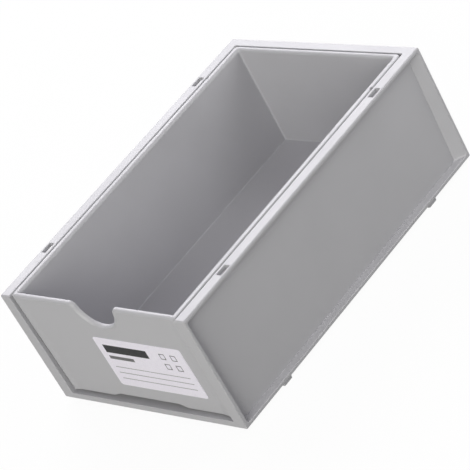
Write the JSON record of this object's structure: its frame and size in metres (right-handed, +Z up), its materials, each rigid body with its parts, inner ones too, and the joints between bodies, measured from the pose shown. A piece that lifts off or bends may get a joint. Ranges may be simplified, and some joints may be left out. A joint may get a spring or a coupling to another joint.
{
  "type": "desktop drawer organizer",
  "caption": "Stackable desk box open at the top and front, holding a sliding drawer with a half-round finger notch and a front label.",
  "frame": {"origin": "centre of the footprint, in the plane of the peg feet that the box stands on", "axes": "+Z up, -Y towards the open front, +X to the right seen from the front"},
  "size_m": [0.12, 0.186, 0.0665],
  "materials": {
    "case_plastic": "fine satin moulded plastic, pale neutral grey-white",
    "drawer_plastic": "fine satin moulded plastic, pale neutral grey-white",
    "label_paper": "matt paper sticker with plain printed rules"
  },
  "bodies": {
    "case": {"outer_case": "case_plastic"},
    "drawer": {"drawer": "drawer_plastic", "front_label": "label_paper"}
  },
  "joints": [
    {"name": "drawer_slide", "type": "slide", "parent": "case", "child": "drawer", "axis": [0, -1, 0], "range_m": [0, 0.12]}
  ]
}
